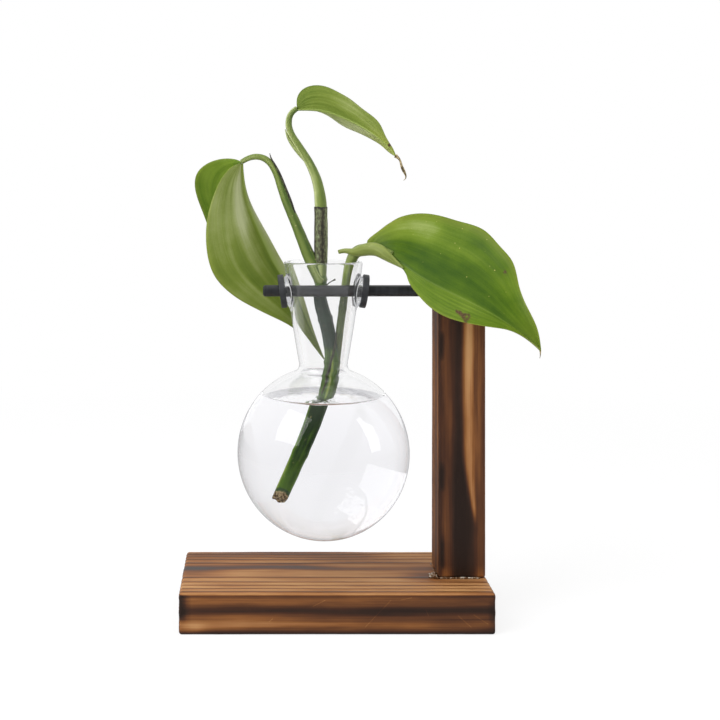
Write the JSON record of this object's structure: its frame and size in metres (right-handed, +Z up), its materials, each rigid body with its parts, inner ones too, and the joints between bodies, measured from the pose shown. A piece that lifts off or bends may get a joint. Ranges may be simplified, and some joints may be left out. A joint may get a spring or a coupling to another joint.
{
  "type": "propagation vase",
  "caption": "Glass bulb vase hung by its neck on a rod from a wooden post and base, holding a leafy cutting that roots in water.",
  "frame": {"origin": "centre of the base block's underside", "axes": "+X along the base towards the post, +Y from the front to the back, +Z up"},
  "size_m": [0.1578, 0.0849, 0.2468],
  "materials": {
    "base_wood": "torched and brushed pine, matt oil",
    "post_wood": "torched and brushed pine, dark, matt oil",
    "screw_steel": "zinc-plated",
    "glue": "clear set glue",
    "rod_paint": "satin black",
    "glass": "clear blown glass",
    "washer_rubber": "smooth black rubber",
    "stem": "living green stem",
    "stalk": "living green leaf stalk",
    "dry_sheath": "dry papery sheath",
    "green_sheath": "pale green leaf sheath",
    "leaf": "satin living leaf"
  },
  "bodies": {
    "stand": {"base_block": "base_wood", "post": "post_wood", "post_screw": "screw_steel", "glue_bead": "glue"},
    "rod": {"rod": "rod_paint"},
    "vase": {"vase": "glass", "cutting_stem": "stem", "stalk_left": "stalk", "stalk_top": "stalk", "stalk_right": "stalk", "sheath_left": "dry_sheath", "sheath_top": "dry_sheath", "sheath_right": "green_sheath", "leaf_left": "leaf", "leaf_top": "leaf", "leaf_right": "leaf"},
    "washer_left": {"washer_left": "washer_rubber"},
    "washer_right": {"washer_right": "washer_rubber"}
  },
  "joints": [
    {"name": "vase_swing", "type": "hinge", "parent": "stand", "child": "rod", "pos_m": [0.0474, 0, 0.1492], "axis": [1, 0, 0], "range_deg": [-30, 30]},
    {"name": "vase_slide", "type": "slide", "parent": "rod", "child": "vase", "axis": [1, 0, 0], "range_m": [-0.003, 0.01]},
    {"name": "washer_left_slide", "type": "slide", "parent": "vase", "child": "washer_left", "axis": [1, 0, 0], "range_m": [-0.006, 0]},
    {"name": "washer_right_slide", "type": "slide", "parent": "vase", "child": "washer_right", "axis": [1, 0, 0], "range_m": [0, 0.012]}
  ]
}
